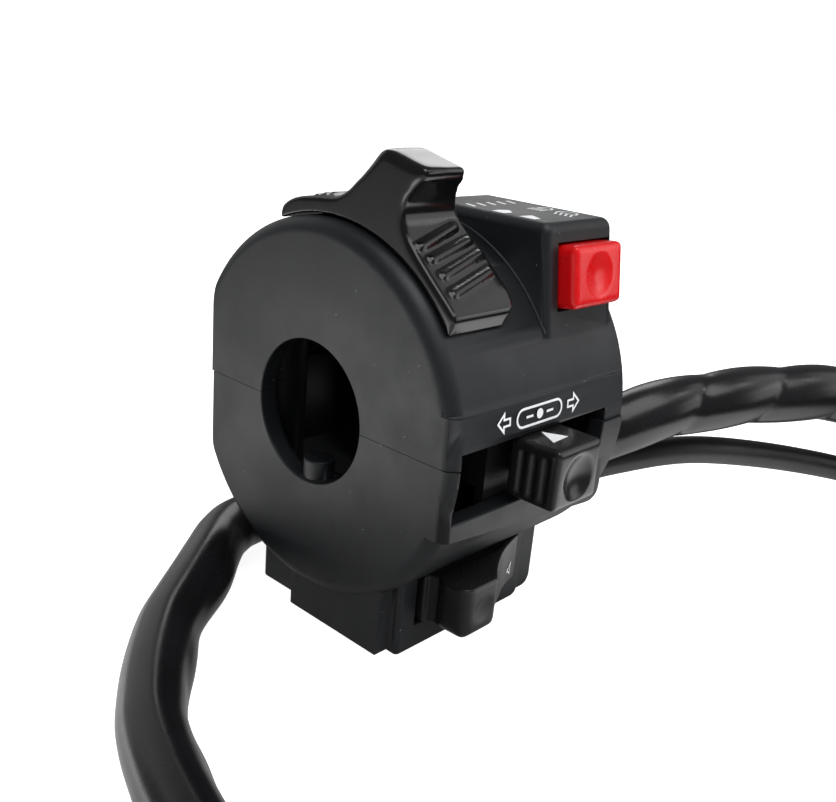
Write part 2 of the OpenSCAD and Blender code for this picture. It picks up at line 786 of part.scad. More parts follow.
module knob_clip() {
    color("#9a9da1")
    difference() {
        y_rod(-knob_stem_end - 0.2 - clip_t, -knob_stem_end - 0.2, 3.1, turn_x, turn_z);
        y_rod(-far, 0, 1.8, turn_x, turn_z);
        between([turn_x - 1.5, -far, turn_z], [turn_x + 1.5, 0, turn_z + 5]);
    }
}

module red_button() {
    flange_d = wall + gap;
    color("#d8262b")
    on_red_face()
    difference() {
        union() {
            soft_box([-red_w / 2, -red_h / 2, -red_proud],
                [red_w / 2, red_h / 2, flange_d + red_flange_t], 1.2);
            between([-red_w / 2 - red_lip, -red_h / 2 - red_lip, flange_d],
                [red_w / 2, red_h / 2 + red_lip, flange_d + red_flange_t]);
        }
        translate([0, 0, 0.3]) cylinder(r = red_spring_r + 0.5, h = 9);
        translate([0, 0, -red_proud - 6.37]) sphere(7.22);
    }
}

module red_bridge() {
    color("#c39a52")
    on_red_face() translate([0, 0, wall + gap + red_flange_t])
    difference() {
        translate([-red_w / 2, -4, 0]) cube([red_w, 8, pad_t]);
        translate([0, 0, -1]) cylinder(r = red_spring_r + 0.5, h = 3);
    }
}

module red_spring() {
    color("#c2c4c7")
    on_red_face() translate([0, 0, 0.3]) coil(red_spring_r, 0.3, red_base_d - 0.3, 6);
}

module red_base() {
    width = block_w - 2 * block_wall - 2 * seat_play;
    color("#6b4a2a")
    on_red_face() translate([-red_shift, 0, red_base_d + board_t / 2])
        cube([width, red_h, board_t], center = true);
}

module red_contacts() {
    post = red_base_d - (wall + gap + red_flange_t + pad_t + red_travel + gap);
    color("#c39a52")
    on_red_face()
        for (side = [-1, 1])
            translate([side * (red_w / 2 - 1) - 1, -1.5, red_base_d - post]) cube([2, 3, post]);
}

// Thumb block of the horn plate: well rounded at the thumb side and below, crisp on top
module thumb_block(back) {
    low = horn_z0 - 0.8;
    top = horn_z1 + 0.1;
    end = horn_x1 - 4;
    intersection() {
        z_slab(low, top) round_rect([thumb_x0, -thumb_front], [end, back], 2.4);
        y_slab(-thumb_front, back) foot_rect([thumb_x0, low], [end, top], 2.6, 0.5);
        x_slab(thumb_x0, end) foot_rect([-thumb_front, low], [back, top], 2.2, 0.5);
    }
}

module horn_button() {
    mid_z = (horn_z0 + horn_z1) / 2;
    neck_y = bezel_front + 3.4;
    color("#131416")
    difference() {
        union() {
            soft_box([horn_x0 + 0.6, -bezel_front - 0.6, horn_z0],
                [horn_x1, -horn_rear, horn_z1], 0.45);
            between([horn_x0 - horn_lip, -horn_rear - horn_flange_t, horn_z0 - horn_lip],
                [horn_x1, -horn_rear, horn_z1 + horn_lip]);
            z_slab(horn_z0, horn_z1) polygon([
                [horn_x0 + 1, -bezel_front], [thumb_x0 + 1.5, -neck_y],
                [thumb_x0 + 3, -thumb_front + 1.6], [horn_x1 - 0.4, -thumb_front + 1.6],
                [horn_x1 - 0.4, -bezel_front]
            ]);
            thumb_block(-bezel_front - 1.5);
        }
        z_rod(horn_z0 - 1, horn_z1 + 1, ramp_r, ramp_at);
        y_rod(-horn_rear - 3, 0, horn_spring_r + 0.5, horn_mid, mid_z);
        translate([thumb_x0 + 4.7, -thumb_front - 5.4, mid_z - 0.4]) sphere(6);
    }
}

module horn_bridge() {
    mid_z = (horn_z0 + horn_z1) / 2;
    color("#c39a52")
    difference() {
        between([horn_mid - 9, -horn_rear, horn_z0], [horn_mid + 9, -horn_rear + pad_t, horn_z1]);
        y_rod(-far, 0, horn_spring_r + 0.5, horn_mid, mid_z);
    }
}

module horn_spring() {
    color("#c2c4c7")
    translate([horn_mid, -horn_base_y, (horn_z0 + horn_z1) / 2]) rotate([90, 0, 0])
        coil(horn_spring_r, 0.3, horn_rear + 3 - horn_base_y, 6);
}

module horn_base() {
    color("#6b4a2a")
    between([horn_mid - 10, -horn_base_y, floor_z],
        [horn_mid + 10, -horn_base_y + horn_base_t, horn_z1 + 1]);
}

module horn_contacts() {
    mid_z = (horn_z0 + horn_z1) / 2;
    post = horn_rear - pad_t - horn_travel - gap;
    color("#c39a52")
    for (side = [-1, 1])
        between([horn_mid + side * 7 - 1.2, -post, mid_z - 1.5],
            [horn_mid + side * 7 + 1.2, -horn_base_y, mid_z + 1.5]);
}

// Moulded rubber grommet with a tapered nose, round its own X axis
module grommet(exit, r, flange_r, cable_r, nose_x) {
    translate([0, exit[0], exit[1]]) rotate([0, 90, 0])
    difference() {
        union() {
            translate([0, 0, in_x1]) cylinder(r = r, h = body_len - in_x1);
            translate([0, 0, body_len]) cylinder(r = flange_r, h = 1.4);
            translate([0, 0, body_len + 1.4])
                cylinder(r1 = r + 0.3, r2 = cable_r + 0.3, h = nose_x - body_len - 1.4);
        }
        translate([0, 0, in_x1 - 1]) cylinder(r = cable_r * 0.7, h = far);
    }
}

module loom_grommet() {
    color("#1a1b1d") grommet(loom_exit, grommet_r, grommet_r + 1, loom_d / 2, loom_start);
}

module wiring_loom() {
    color("#17181a") tube(loom_route, loom_d / 2, 12);
}

module loom_plug() {
    end = loom_route[len(loom_route) - 1];
    cell = plug_size[0] / 3 - 2;
    color("#d9d6cc")
    translate([end[0] - plug_size[0] / 2, end[1] - plug_size[1], -base_z])
    difference() {
        union() {
            cube(plug_size);
            translate([plug_size[0] / 2 - 4, 3, plug_size[2]]) cube([8, 12, 1.4]);
        }
        for (i = [0 : 2])
            for (k = [0, 1])
                translate([(2 * i + 1) * plug_size[0] / 6 - cell / 2, -1, 1.6 + k * plug_size[2] / 2])
                    cube([cell, 15, plug_size[2] / 2 - 3.2]);
    }
}

module plug_terminals() {
    end = loom_route[len(loom_route) - 1];
    color("#c9a45c")
    translate([end[0] - plug_size[0] / 2, end[1] - plug_size[1], -base_z])
    for (i = [0 : 2])
        for (k = [0, 1])
            translate([(2 * i + 1) * plug_size[0] / 6, 2, (2 * k + 1) * plug_size[2] / 4])
                translate([-1.5, 0, -0.4]) cube([3, 12, 0.8]);
}

module lead_grommet() {
    color("#1a1b1d") grommet(lead_exit, lead_grommet_r, lead_grommet_r + 0.8, lead_d / 2, lead_start);
}

module clutch_lead() {
    color("#17181a") tube(lead_route, lead_d / 2, 10);
}

module lead_plug() {
    end = lead_route[len(lead_route) - 1];
    color("#d9d6cc")
    translate([end[0], end[1] - lead_plug_size[1] / 2, -base_z])
    difference() {
        cube(lead_plug_size);
        for (k = [0, 1])
            translate([6, 1.3 + k * 3.7, 2]) cube([lead_plug_size[0], 2.7, 3]);
    }
}

upper_housing();
lower_housing();
case_screws();
thumb_lever();
lever_shoe();
lever_screw();
lever_wiper();
lever_ball();
lever_spring();
light_board();
light_contacts();
turn_board();
turn_contacts();
turn_carriage();
turn_wiper();
turn_ball();
turn_spring();
turn_knob();
knob_spring();
knob_clip();
red_button();
red_bridge();
red_spring();
red_base();
red_contacts();
horn_button();
horn_bridge();
horn_spring();
horn_base();
horn_contacts();
loom_grommet();
wiring_loom();
loom_plug();
plug_terminals();
lead_grommet();
clutch_lead();
lead_plug();
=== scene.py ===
# Handlebar switch cluster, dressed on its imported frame. Lengths on the part are written in
# millimetres and turned into metres by MM where they are used. The studio is in metres.
import math
import bmesh
import bpy
from mathutils import Matrix, Vector


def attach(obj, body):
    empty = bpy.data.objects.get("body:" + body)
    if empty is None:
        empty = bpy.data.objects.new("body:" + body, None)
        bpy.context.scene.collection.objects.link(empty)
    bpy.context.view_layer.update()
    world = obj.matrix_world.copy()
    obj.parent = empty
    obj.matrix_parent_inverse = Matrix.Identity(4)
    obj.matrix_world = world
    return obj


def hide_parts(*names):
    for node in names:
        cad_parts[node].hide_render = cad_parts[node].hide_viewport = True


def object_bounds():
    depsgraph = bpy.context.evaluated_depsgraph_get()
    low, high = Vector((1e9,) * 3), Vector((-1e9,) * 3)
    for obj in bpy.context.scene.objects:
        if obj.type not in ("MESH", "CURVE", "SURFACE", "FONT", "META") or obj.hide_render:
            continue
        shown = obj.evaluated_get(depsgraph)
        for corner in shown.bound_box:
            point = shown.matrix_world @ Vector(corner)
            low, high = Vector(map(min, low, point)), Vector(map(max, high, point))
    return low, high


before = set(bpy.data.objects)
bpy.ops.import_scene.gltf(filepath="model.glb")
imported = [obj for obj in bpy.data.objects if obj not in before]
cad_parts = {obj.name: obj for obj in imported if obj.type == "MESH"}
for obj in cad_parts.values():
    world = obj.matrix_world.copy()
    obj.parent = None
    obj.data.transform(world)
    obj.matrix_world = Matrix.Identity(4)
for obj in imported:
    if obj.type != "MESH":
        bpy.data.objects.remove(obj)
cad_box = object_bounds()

MM = 0.001

# The view: a camera held about a forearm away, outboard of the switch, on the
# rider's side and a little above it. Its place comes from the bore, rim and panel.
photo_w = 836
focal_px = 986.3
sensor_mm = 36
camera_at = Vector((-92.86, -104.34, 51.08)) * MM
view_right = Vector((0.683, -0.7257, 0.0834)).normalized()
view_ahead = Vector((0.7069, 0.6278, -0.3258)).normalized()
view_up = view_right.cross(view_ahead).normalized()
view_right = view_ahead.cross(view_up)
lens = bpy.data.cameras.new("photo_camera")
lens.sensor_fit = "HORIZONTAL"
lens.sensor_width = sensor_mm
lens.lens = focal_px / photo_w * sensor_mm
lens.clip_start = 0.002
camera = bpy.data.objects.new("photo_camera", lens)
bpy.context.scene.collection.objects.link(camera)
view_turn = Matrix((view_right, view_up, -view_ahead)).transposed().to_4x4()
camera.matrix_world = Matrix.Translation(camera_at) @ view_turn
bpy.context.scene.camera = camera
bpy.context.scene.view_settings.view_transform = "Standard"


# The studio: white paper on a table, one wide softbox overhead and smaller ones round
# it. The paper is white to the camera and keeps a shadow; to mirror rays it shows painted
# pools of light and painted shade.
def place(name, bm, finish, smooth=None):
    """A mesh object at the origin from a finished bmesh."""
    mesh = bpy.data.meshes.new(name)
    bm.to_mesh(mesh)
    bm.free()
    mesh.materials.append(finish)
    if smooth is not None:
        mesh.shade_smooth()
        mesh.set_sharp_from_angle(angle=math.radians(smooth))
    piece = bpy.data.objects.new(name, mesh)
    bpy.context.scene.collection.objects.link(piece)
    return piece


def blank(name):
    """A new node material: the material, its node tree and its main shader."""
    finish = bpy.data.materials.new(name)
    finish.use_nodes = True
    return finish, finish.node_tree, finish.node_tree.nodes["Principled BSDF"]


def put(tree, value, socket):
    """Sets a socket to a plain value, or links another socket to it."""
    if isinstance(value, bpy.types.NodeSocket):
        tree.links.new(value, socket)
    else:
        socket.default_value = value


def calc(tree, operation, *values, clamp=False):
    """The result of a maths node on plain values or sockets."""
    node = tree.nodes.new("ShaderNodeMath")
    node.operation = operation
    node.use_clamp = clamp
    for k, value in enumerate(values):
        put(tree, value, node.inputs[k])
    return node.outputs[0]


def vector_calc(tree, operation, *vectors):
    """The result of a vector maths node: a vector for a product, or else a number."""
    node = tree.nodes.new("ShaderNodeVectorMath")
    node.operation = operation
    for k, vector in enumerate(vectors):
        put(tree, vector, node.inputs[k])
    return node.outputs["Vector" if operation == "MULTIPLY" else "Value"]


def object_spot(tree):
    """Object coordinates in a node tree."""
    return tree.nodes.new("ShaderNodeTexCoord").outputs["Object"]


def ray_share(tree, seen, mirrored=None):
    """A value for camera and transmission rays, a socket for glossy rays, 0 for the rest."""
    path = tree.nodes.new("ShaderNodeLightPath")
    either = calc(tree, "MAXIMUM", path.outputs["Is Camera Ray"],
                  path.outputs["Is Transmission Ray"])
    direct = calc(tree, "MULTIPLY", either, seen)
    if mirrored is None:
        return direct
    return calc(tree, "MULTIPLY_ADD", path.outputs["Is Glossy Ray"], mirrored, direct)


floor_z = cad_box[0][2]
floor_gap = 0.05 * MM
floor_half = 6.0
paper, paper_tree, shader = blank("white_paper")
shader.inputs["Base Color"].default_value = (0.86, 0.86, 0.86, 1)
shader.inputs["Roughness"].default_value = 0.9
shader.inputs["Specular IOR Level"].default_value = 0.1
paper_spot = object_spot(paper_tree)


def painted_pool_of_light(middle, reach, stops):
    """How bright the paper's painted light is at a distance from a point: a curve over 0 to
    reach.
    """
    span = paper_tree.nodes.new("ShaderNodeMapRange")
    span.inputs["From Max"].default_value = reach
    put(paper_tree, vector_calc(paper_tree, "DISTANCE", paper_spot, (*middle, floor_z)),
        span.inputs["Value"])
    fall = paper_tree.nodes.new("ShaderNodeFloatCurve")
    shape = fall.mapping.curves[0].points
    for stop in stops[1:-1]:
        shape.new(*stop)
    shape[0].location = stops[0]
    shape[-1].location = stops[-1]
    paper_tree.links.new(span.outputs["Result"], fall.inputs["Value"])
    return fall.outputs["Value"]


# What the part mirrors, painted on the paper for mirror rays only: a wide painted pool of
# light, painted dim near the switch as its shadow and fading to the inboard side, one bright
# painted pool on the outboard side, one in front of the panel, and painted dark beyond a
# line toward the rider's and inboard side.
wide = painted_pool_of_light((0.03, -0.02), 0.6, [(0, 0.2), (0.06, 0.42), (0.12, 0.64), (0.2, 0.85),
                                          (0.36, 0.85), (0.7, 0.62), (1, 0.45)])
outboard = painted_pool_of_light((-0.125, 0.06), 0.125, [(0, 1), (0.3, 0.85), (0.7, 0.25), (1, 0)])
front = painted_pool_of_light((0.066, -0.073), 0.066, [(0, 1), (0.35, 0.9), (0.7, 0.45), (1, 0)])
outboard_share = 3.7
front_share = 1.65
slope = vector_calc(paper_tree, "DOT_PRODUCT", paper_spot, (-2.55, -1.5, 0))
lean = calc(paper_tree, "ADD", slope, 0.72, clamp=True)
faded = calc(paper_tree, "MULTIPLY", wide, lean)
lit = calc(paper_tree, "MULTIPLY_ADD", front, front_share,
           calc(paper_tree, "MULTIPLY_ADD", outboard, outboard_share, faded))
# Painted shade: beyond a line toward the rider's side the paper is dark to mirror rays.
toward_painted_dark = vector_calc(paper_tree, "DOT_PRODUCT", paper_spot, (0.5, -0.85, 0))
edge = paper_tree.nodes.new("ShaderNodeMapRange")
edge.interpolation_type = "SMOOTHSTEP"
for label, value in (("Value", toward_painted_dark), ("From Min", 0.115), ("From Max", 0.155),
                     ("To Min", 1.0), ("To Max", 0.12)):
    put(paper_tree, value, edge.inputs[label])
mirrored = calc(paper_tree, "MULTIPLY", lit, edge.outputs["Result"])
glow = paper_tree.nodes.new("ShaderNodeEmission")
put(paper_tree, ray_share(paper_tree, 0.9, mirrored), glow.inputs["Strength"])
path = paper_tree.nodes.new("ShaderNodeLightPath")
nothing = paper_tree.nodes.new("ShaderNodeEmission")
nothing.inputs["Strength"].default_value = 0
sheet = paper_tree.nodes.new("ShaderNodeMixShader")
together = paper_tree.nodes.new("ShaderNodeAddShader")
for source, target in ((path.outputs["Is Glossy Ray"], sheet.inputs[0]),
                       (shader.outputs[0], sheet.inputs[1]),
                       (nothing.outputs[0], sheet.inputs[2]),
                       (sheet.outputs[0], together.inputs[0]),
                       (glow.outputs[0], together.inputs[1]),
                       (together.outputs[0], paper_tree.nodes["Material Output"].inputs[0])):
    paper_tree.links.new(source, target)
bm = bmesh.new()
bmesh.ops.create_grid(bm, x_segments=1, y_segments=1, size=floor_half,
                      matrix=Matrix.Translation((0, 0, floor_z - floor_gap)))
place("table_paper", bm, paper)

sky = bpy.data.worlds.new("studio")
bpy.context.scene.world = sky
sky.use_nodes = True
sky_tree = sky.node_tree
room = sky_tree.nodes["Background"]
room.inputs["Color"].default_value = (0.95, 0.97, 1.0, 1)
room.inputs["Strength"].default_value = 0.17
white = sky_tree.nodes.new("ShaderNodeBackground")
white.inputs["Color"].default_value = (1, 1, 1, 1)
mix = sky_tree.nodes.new("ShaderNodeMixShader")
for source, target in ((ray_share(sky_tree, 1.0), mix.inputs[0]),
                       (room.outputs[0], mix.inputs[1]),
                       (white.outputs[0], mix.inputs[2]),
                       (mix.outputs[0], sky_tree.nodes["World Output"].inputs["Surface"])):
    sky_tree.links.new(source, target)

switch_middle = (0.015, -0.005, 0)


def softbox(name, at, size, power, aim=switch_middle, mirrored=True):
    """A square area lamp at one point, facing another. One that is not mirrored only fills."""
    lamp = bpy.data.lights.new(name, "AREA")
    lamp.size = size
    lamp.energy = power
    box = bpy.data.objects.new(name, lamp)
    box.location = at
    box.visible_glossy = mirrored
    box.rotation_euler = (Vector(aim) - Vector(at)).to_track_quat("-Z", "Y").to_euler()
    bpy.context.scene.collection.objects.link(box)


softbox("far_softbox", (0.50, 0.40, 0.34), 0.3, 0.62)
softbox("overhead_softbox", (0.0, -0.22, 0.62), 0.55, 2.6)
softbox("rider_softbox", (0.15, -0.55, 0.22), 0.4, 1.3, mirrored=False)
softbox("inboard_softbox", (0.545, -0.315, 0.36), 0.45, 0.5)
softbox("low_softbox", (0.42, -0.42, 0.11), 0.3, 0.36)
softbox("cable_light", (0.40, -0.36, 0.58), 0.1, 0.12, aim=(0.05, -0.03, 0))
softbox("backdrop", (0.02, 0.62, 0.20), 0.6, 0.55, aim=(0, 0, 0))
softbox("outboard_softbox", (-0.45, -0.25, 0.35), 0.4, 1.2, mirrored=False)


# The wiring loom: a bundle of twisted wires in a half-gloss black vinyl sleeve.
# The sleeve was pulled over the bundle, so its twist shows as lobes and a long fold.
loom_d = 10.8
loom_route = [
    (47, -17.5, -10), (50, -17.5, -10), (56, -19.6, -8), (64, -23, -6), (76, -28, -4.6),
    (90, -34, -4.2), (104, -41, -5), (118, -48, -9.5), (132, -54.5, -16.5), (145, -59.5, -23),
    (158, -62, -27.5), (170, -62, -29.1), (182, -58, -29.1), (191, -50, -29.1), (196, -39, -29.1),
    (196, -27, -29.1), (190, -16, -29.1), (178, -8, -29.1), (160, 0.5, -29.1), (138, 8.5, -29.1),
    (114, 14, -29.1), (90, 18, -29.1), (66, 21, -29.1), (42, 22.5, -29.1), (20, 22.5, -29.1),
    (6, 22, -29.1), (0, 19.5, -29.1), (-5, 15.7, -29.1), (-11, 10.9, -29.1), (-17, 6.2, -29.1),
    (-22.6, 1.7, -29.1), (-27, -2.9, -29.1), (-30.8, -7.4, -29.1), (-34, -11.8, -29.1),
    (-36.7, -16, -29.1), (-38.7, -20.3, -29.1), (-40.3, -24.6, -29.1), (-41.7, -29, -29.1),
    (-43.4, -36, -29.1), (-44.2, -44, -29.1), (-44.2, -52, -29.1),
]


def even_line(route, step):
    """Points about one step apart on a smooth curve through the route, in metres."""
    knots = [Vector(p) * MM for p in route]
    line = []
    for i in range(len(knots) - 1):
        a, b = knots[max(i - 1, 0)], knots[i]
        c, d = knots[i + 1], knots[min(i + 2, len(knots) - 1)]
        count = max(1, round((c - b).length / step))
        for k in range(count):
            s = k / count
            line.append(0.5 * (2 * b + (c - a) * s + (2 * a - 5 * b + 4 * c - d) * s ** 2
                               + (3 * b - a - 3 * c + d) * s ** 3))
    line.append(knots[-1])
    return line


def length_of(line):
    """Length of a line of points, in metres."""
    return sum((b - a).length for a, b in zip(line, line[1:]))


def sleeve(line, sides, radius):
    """A closed tube drawn ring by ring along a line. radius(s, turn) gives its
    radius at a length in mm and an angle from the level side over the top."""
    bm = bmesh.new()
    made = bmesh.ops.create_circle(bm, segments=sides, radius=MM)
    ring = list(made["verts"])
    edges = bm.edges[:]
    run = 0
    last = len(line) - 1
    for i, at in enumerate(line):
        if i:
            run += (at - line[i - 1]).length / MM
            grown = bmesh.ops.extrude_edge_only(bm, edges=edges)["geom"]
            fresh = {g for g in grown if isinstance(g, bmesh.types.BMVert)}
            ring = [next(w for w in (e.other_vert(v) for e in v.link_edges) if w in fresh)
                    for v in ring]
            edges = [e for e in grown if isinstance(e, bmesh.types.BMEdge)
                     and e.verts[0] in fresh and e.verts[1] in fresh]
        ahead = (line[min(i + 1, last)] - line[max(i - 1, 0)]).normalized()
        level = ahead.cross(Vector((0, 0, 1))).normalized()
        rise = level.cross(ahead)
        for k, v in enumerate(ring):
            turn = 2 * math.pi * k / sides
            r = radius(run, turn) * MM
            v.co = at + r * (math.cos(turn) * level + math.sin(turn) * rise)
    bmesh.ops.holes_fill(bm, edges=[e for e in bm.edges if e.is_boundary], sides=0)
    bmesh.ops.recalc_face_normals(bm, faces=bm.faces)
    return bm


loom_line = even_line(loom_route, 1.1 * MM)
loom_length = length_of(loom_line)
twist_pitch = 18.4
twist_shift = 0.17
twist_start = 8
twist_end = 190
fold_from = loom_length / MM - 150
fold_fade = 25
plug_fade = 10


def strand(turn, off, toward, r):
    """Radius at which a round strand shows, set off from the middle toward an angle."""
    a = turn - math.radians(toward)
    inside = max(0.0, r * r - (off * math.sin(a)) ** 2)
    return off * math.cos(a) + math.sqrt(inside)


def loom_radius(s, turn):
    """Lobes of the tight twist near the switch, two loose strands near the plug."""
    to_plug = loom_length / MM - s
    fade = 0.5 + 0.5 * math.cos(math.pi * min(1.0, s / twist_end))
    tight = min(1.0, s / twist_start) * fade ** 0.3
    phase = (s / twist_pitch - turn / (2 * math.pi) + twist_shift) % 1.0
    deep = 0.45 + 0.55 * math.cos(turn - 0.2) ** 2
    lobe = deep * (1.3 * abs(math.sin(math.pi * (phase - 0.5))) ** 0.75 - 0.75)
    twisted = loom_d / 2 + tight * lobe
    loose = min(1.0, max(0.0, (s - fold_from) / fold_fade)) * min(1.0, to_plug / plug_fade)
    swing = 16 * math.sin(to_plug / 24)
    outer = strand(turn, 0.75, 50 + swing, 4.35)
    inner = strand(turn, 1.75, 188 + swing, 2.9 + 0.35 * math.sin(to_plug / 3.6))
    laid = math.log(math.exp(5 * outer) + math.exp(5 * inner)) / 5
    return twisted + loose * (laid - twisted)


def effect(name, inputs, outputs):
    """An empty shader group with float inputs and outputs: its tree and its two ends."""
    tree = bpy.data.node_groups.new(name, "ShaderNodeTree")
    for label, value in inputs.items():
        socket = tree.interface.new_socket(label, in_out="INPUT", socket_type="NodeSocketFloat")
        socket.default_value = value
    for label in outputs:
        tree.interface.new_socket(label, in_out="OUTPUT", socket_type="NodeSocketFloat")
    return tree, tree.nodes.new("NodeGroupInput"), tree.nodes.new("NodeGroupOutput")


def scaled_noise(tree, scale, detail, rough=0.5):
    """A noise on Object coordinates; scale is a number or a socket."""
    noise = tree.nodes.new("ShaderNodeTexNoise")
    noise.inputs["Detail"].default_value = detail
    noise.inputs["Roughness"].default_value = rough
    put(tree, object_spot(tree), noise.inputs["Vector"])
    put(tree, scale, noise.inputs["Scale"])
    return noise.outputs["Fac"]


def spread(tree, value, low, high, from_low=0.35, from_high=0.65):
    """Maps a range, by default the middle of a noise, to one with numbers or sockets as ends."""
    span = tree.nodes.new("ShaderNodeMapRange")
    for label, given in (("Value", value), ("From Min", from_low), ("From Max", from_high),
                         ("To Min", low), ("To Max", high)):
        put(tree, given, span.inputs[label])
    return span.outputs["Result"]


def two_tone(tree, deep, pale, factor):
    """A colour between two, by a socket."""
    tone = tree.nodes.new("ShaderNodeMix")
    tone.data_type = "RGBA"
    for label, given in (("Factor", factor), ("A", deep), ("B", pale)):
        put(tree, given, tone.inputs[label])
    return tone.outputs["Result"]


# Moulded grain: a fine skin texture and slow patches of more and less shine.
moulded_grain, given, out = effect(
    "moulded_grain",
    {"Grain": 6000, "Patch": 90, "Shine low": 0.4, "Shine high": 0.5},
    ["Height", "Roughness"])
put(moulded_grain, scaled_noise(moulded_grain, given.outputs["Grain"], 2), out.inputs["Height"])
patches = scaled_noise(moulded_grain, given.outputs["Patch"], 4, 0.6)
put(moulded_grain, spread(moulded_grain, patches, given.outputs["Shine low"],
                          given.outputs["Shine high"]), out.inputs["Roughness"])

# Dust: a few pale specks, each far smaller than its cell, and only in some cells.
dust_specks, given, out = effect("dust_specks", {"Cells": 420, "Speck": 0.03, "Share": 0.6},
                                 ["Mask"])
cells = dust_specks.nodes.new("ShaderNodeTexVoronoi")
put(dust_specks, object_spot(dust_specks), cells.inputs["Vector"])
put(dust_specks, given.outputs["Cells"], cells.inputs["Scale"])
split = dust_specks.nodes.new("ShaderNodeSeparateColor")
put(dust_specks, cells.outputs["Color"], split.inputs[0])
near = calc(dust_specks, "LESS_THAN", cells.outputs["Distance"], given.outputs["Speck"])
chosen = calc(dust_specks, "GREATER_THAN", split.outputs[0], given.outputs["Share"])
put(dust_specks, calc(dust_specks, "MULTIPLY", near, chosen), out.inputs["Mask"])


def plastic(name, deep, pale, shine, grain=6000, skin=0.02, dust=0.0, patch=90, share=0.6):
    """A moulded plastic: two close shades in patches, a skin in mm, a range of roughness,
    and dust of some strength that leaves out a share of its cells."""
    finish, tree, shader = blank(name)
    skin_group = tree.nodes.new("ShaderNodeGroup")
    skin_group.node_tree = moulded_grain
    for label, value in (("Grain", grain), ("Patch", patch), ("Shine low", shine[0]),
                         ("Shine high", shine[1])):
        skin_group.inputs[label].default_value = value
    put(tree, skin_group.outputs["Roughness"], shader.inputs["Roughness"])
    bump = tree.nodes.new("ShaderNodeBump")
    bump.inputs["Strength"].default_value = 0.6
    bump.inputs["Distance"].default_value = skin * MM
    put(tree, skin_group.outputs["Height"], bump.inputs["Height"])
    put(tree, bump.outputs[0], shader.inputs["Normal"])
    cloud = scaled_noise(tree, patch * 0.7, 5, 0.55)
    colour = two_tone(tree, (*deep, 1), (*pale, 1), spread(tree, cloud, 0.0, 1.0))
    if dust:
        specks = tree.nodes.new("ShaderNodeGroup")
        specks.node_tree = dust_specks
        specks.inputs["Share"].default_value = share
        dusty = calc(tree, "MULTIPLY", specks.outputs["Mask"], dust)
        colour = two_tone(tree, colour, (0.45, 0.46, 0.47, 1), dusty)
    put(tree, colour, shader.inputs["Base Color"])
    return finish


vinyl = plastic("black_vinyl_sleeve", (0.004, 0.004, 0.0045), (0.007, 0.007, 0.008),
                (0.22, 0.30), grain=2500, skin=0.02, dust=0.5, share=0.93)
loom = place("loom_sleeve", sleeve(loom_line, 48, loom_radius), vinyl, smooth=60)
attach(loom, "housing")
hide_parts("wiring_loom")


# The clutch lead: two thin wires in their own dull vinyl sleeve, which leaves the
# inboard wall below the loom and ends in a small plug.
lead_d = 5.2
lead_route = [
    (46, -11, -20), (48, -11, -20), (54, -13, -19), (62, -17.5, -17), (75, -24.5, -15.6),
    (93, -32, -18.3), (110, -42, -22), (122, -50, -26), (133, -58, -30), (142, -66, -31.9),
    (150, -72, -31.9), (160, -76, -31.9), (168, -76, -31.9),
]
lead_line = even_line(lead_route, 1.5 * MM)


def lead_radius(s, turn):
    """A plain round sleeve, very slightly flattened as it goes along."""
    return lead_d / 2 * (1 + 0.03 * math.cos(2 * turn + s / 15))


dull_vinyl = plastic("dull_vinyl_sleeve", (0.004, 0.004, 0.0045), (0.007, 0.007, 0.008),
                     (0.40, 0.50), grain=2500, skin=0.02)
lead = place("lead_sleeve", sleeve(lead_line, 24, lead_radius), dull_vinyl, smooth=60)
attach(lead, "housing")
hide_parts("clutch_lead")


# The grommets: moulded black rubber with a flange, pushed into the inboard wall,
# with a tapered nose round each cable.
def dress(names, finish):
    """Gives CAD nodes their finish."""
    for name in names:
        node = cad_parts[name]
        node.data.materials.clear()
        node.data.materials.append(finish)


soft_rubber = plastic("moulded_rubber", (0.010, 0.010, 0.011), (0.018, 0.018, 0.019),
                      (0.5, 0.62), grain=4000, skin=0.03, dust=0.4)
dress(["loom_grommet", "lead_grommet"], soft_rubber)

# The plugs: natural nylon connector bodies, moulded with open cavities, one at the
# end of each cable.
natural_nylon = plastic("natural_nylon", (0.62, 0.60, 0.53), (0.70, 0.68, 0.61),
                        (0.35, 0.45), grain=3000, skin=0.01)
dress(["loom_plug", "lead_plug"], natural_nylon)


# The terminals, wipers, bridges and contacts: sheet brass, stamped and bent. They are
# pressed into the plugs, boards, bases and slides. Those of the turn switch are greased.
def metal(name, deep, pale, shine):
    """A stamped or turned metal with fine drawn lines in its colour and shine."""
    finish, tree, shader = blank(name)
    stretch = tree.nodes.new("ShaderNodeMapping")
    stretch.inputs["Scale"].default_value = (300, 300, 4000)
    put(tree, object_spot(tree), stretch.inputs["Vector"])
    lines = tree.nodes.new("ShaderNodeTexNoise")
    lines.inputs["Scale"].default_value = 1
    lines.inputs["Detail"].default_value = 3
    put(tree, stretch.outputs[0], lines.inputs["Vector"])
    drawn = lines.outputs["Fac"]
    put(tree, two_tone(tree, (*deep, 1), (*pale, 1), spread(tree, drawn, 0.0, 1.0)),
        shader.inputs["Base Color"])
    put(tree, spread(tree, drawn, *shine), shader.inputs["Roughness"])
    shader.inputs["Metallic"].default_value = 1.0
    return finish


stamped_brass = metal("stamped_brass", (0.55, 0.36, 0.12), (0.74, 0.54, 0.22), (0.25, 0.4))
dress(["plug_terminals", "lever_wiper", "light_contacts", "turn_wiper",
       "red_bridge", "red_contacts", "horn_bridge", "horn_contacts"], stamped_brass)
greased_brass = metal("greased_brass", (0.035, 0.026, 0.012), (0.06, 0.045, 0.02), (0.4, 0.6))
dress(["turn_contacts"], greased_brass)


